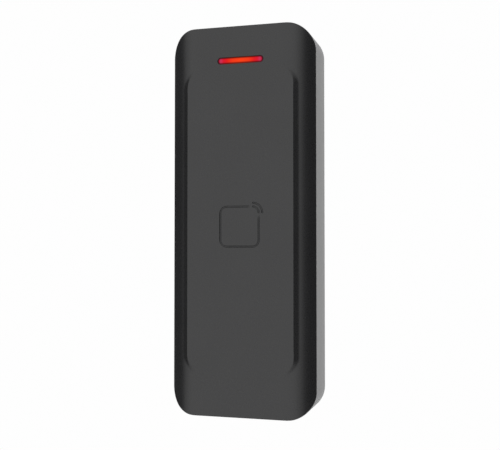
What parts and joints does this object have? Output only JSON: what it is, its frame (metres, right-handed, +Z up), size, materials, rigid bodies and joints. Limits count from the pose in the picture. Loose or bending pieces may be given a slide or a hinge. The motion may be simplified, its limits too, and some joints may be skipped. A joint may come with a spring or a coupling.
{
  "type": "rfid card reader",
  "caption": "Slim upright wall reader for contactless cards: dark cover with soft shoulders and a raised panel, red light bar, grey housing and a steel wall plate.",
  "frame": {"origin": "centre of the wall plate's back face, on the wall, at half the reader's height", "axes": "+Z up along the reader's length, +Y into the wall, the front faces -Y"},
  "size_m": [0.049, 0.02, 0.128],
  "materials": {
    "charcoal_plastic": "fine spark texture, satin",
    "grey_plastic": "moulded satin",
    "red_lens": "smooth translucent",
    "white_plastic": "moulded satin",
    "lamp_white": "clear epoxy over a white body",
    "black_rubber": "moulded matt",
    "zinc_steel": "pressed, zinc plated",
    "screw_steel": "zinc plated",
    "green_board": "solder mask over glass laminate",
    "copper": "enamelled wire, wound flat",
    "ferrite": "sintered ferrite, matt",
    "chip_black": "moulded epoxy",
    "silver_can": "drawn can",
    "switch_blue": "moulded"
  },
  "bodies": {
    "wall_plate": {"wall_plate": "zinc_steel"},
    "reader_head": {"rear_housing": "grey_plastic", "front_cover": "charcoal_plastic", "case_gasket": "black_rubber", "light_bar": "red_lens", "light_box": "white_plastic", "led_1": "lamp_white", "led_2": "lamp_white", "led_3": "lamp_white", "main_board": "green_board", "antenna_board": "green_board", "antenna_coil": "copper", "ferrite_sheet": "ferrite", "antenna_header": "chip_black", "controller_chip": "chip_black", "reader_chip": "chip_black", "crystal": "silver_can", "line_driver": "chip_black", "regulator": "chip_black", "power_inductor": "ferrite", "capacitor_1": "silver_can", "capacitor_2": "silver_can", "buzzer": "chip_black", "surge_suppressor": "chip_black", "cable_header": "white_plastic", "cable_grommet": "black_rubber", "tamper_switch": "chip_black", "option_switch": "switch_blue", "case_screw_1": "screw_steel", "case_screw_2": "screw_steel", "case_screw_3": "screw_steel", "case_screw_4": "screw_steel", "board_screw_1": "screw_steel", "board_screw_2": "screw_steel", "lock_screw": "screw_steel", "lock_nut": "screw_steel"},
    "tamper_plunger": {"tamper_plunger": "white_plastic"},
    "option_slider_1": {"option_slider_1": "white_plastic"},
    "option_slider_2": {"option_slider_2": "white_plastic"},
    "option_slider_3": {"option_slider_3": "white_plastic"},
    "option_slider_4": {"option_slider_4": "white_plastic"}
  },
  "joints": [
    {"name": "head_tilt", "type": "hinge", "parent": "wall_plate", "child": "reader_head", "pos_m": [0, -0.0029, 0.0606], "axis": [-1, 0, 0], "range_deg": [0, 10]},
    {"name": "tamper_press", "type": "slide", "parent": "reader_head", "child": "tamper_plunger", "axis": [0, -1, 0], "range_m": [0, 0.0008], "stiffness_N_per_m": 300},
    {"name": "option_1_slide", "type": "slide", "parent": "reader_head", "child": "option_slider_1", "axis": [0, 0, 1], "range_m": [0, 0.0018]},
    {"name": "option_2_slide", "type": "slide", "parent": "reader_head", "child": "option_slider_2", "axis": [0, 0, 1], "range_m": [0, 0.0018]},
    {"name": "option_3_slide", "type": "slide", "parent": "reader_head", "child": "option_slider_3", "axis": [0, 0, 1], "range_m": [0, 0.0018]},
    {"name": "option_4_slide", "type": "slide", "parent": "reader_head", "child": "option_slider_4", "axis": [0, 0, 1], "range_m": [0, 0.0018]}
  ]
}
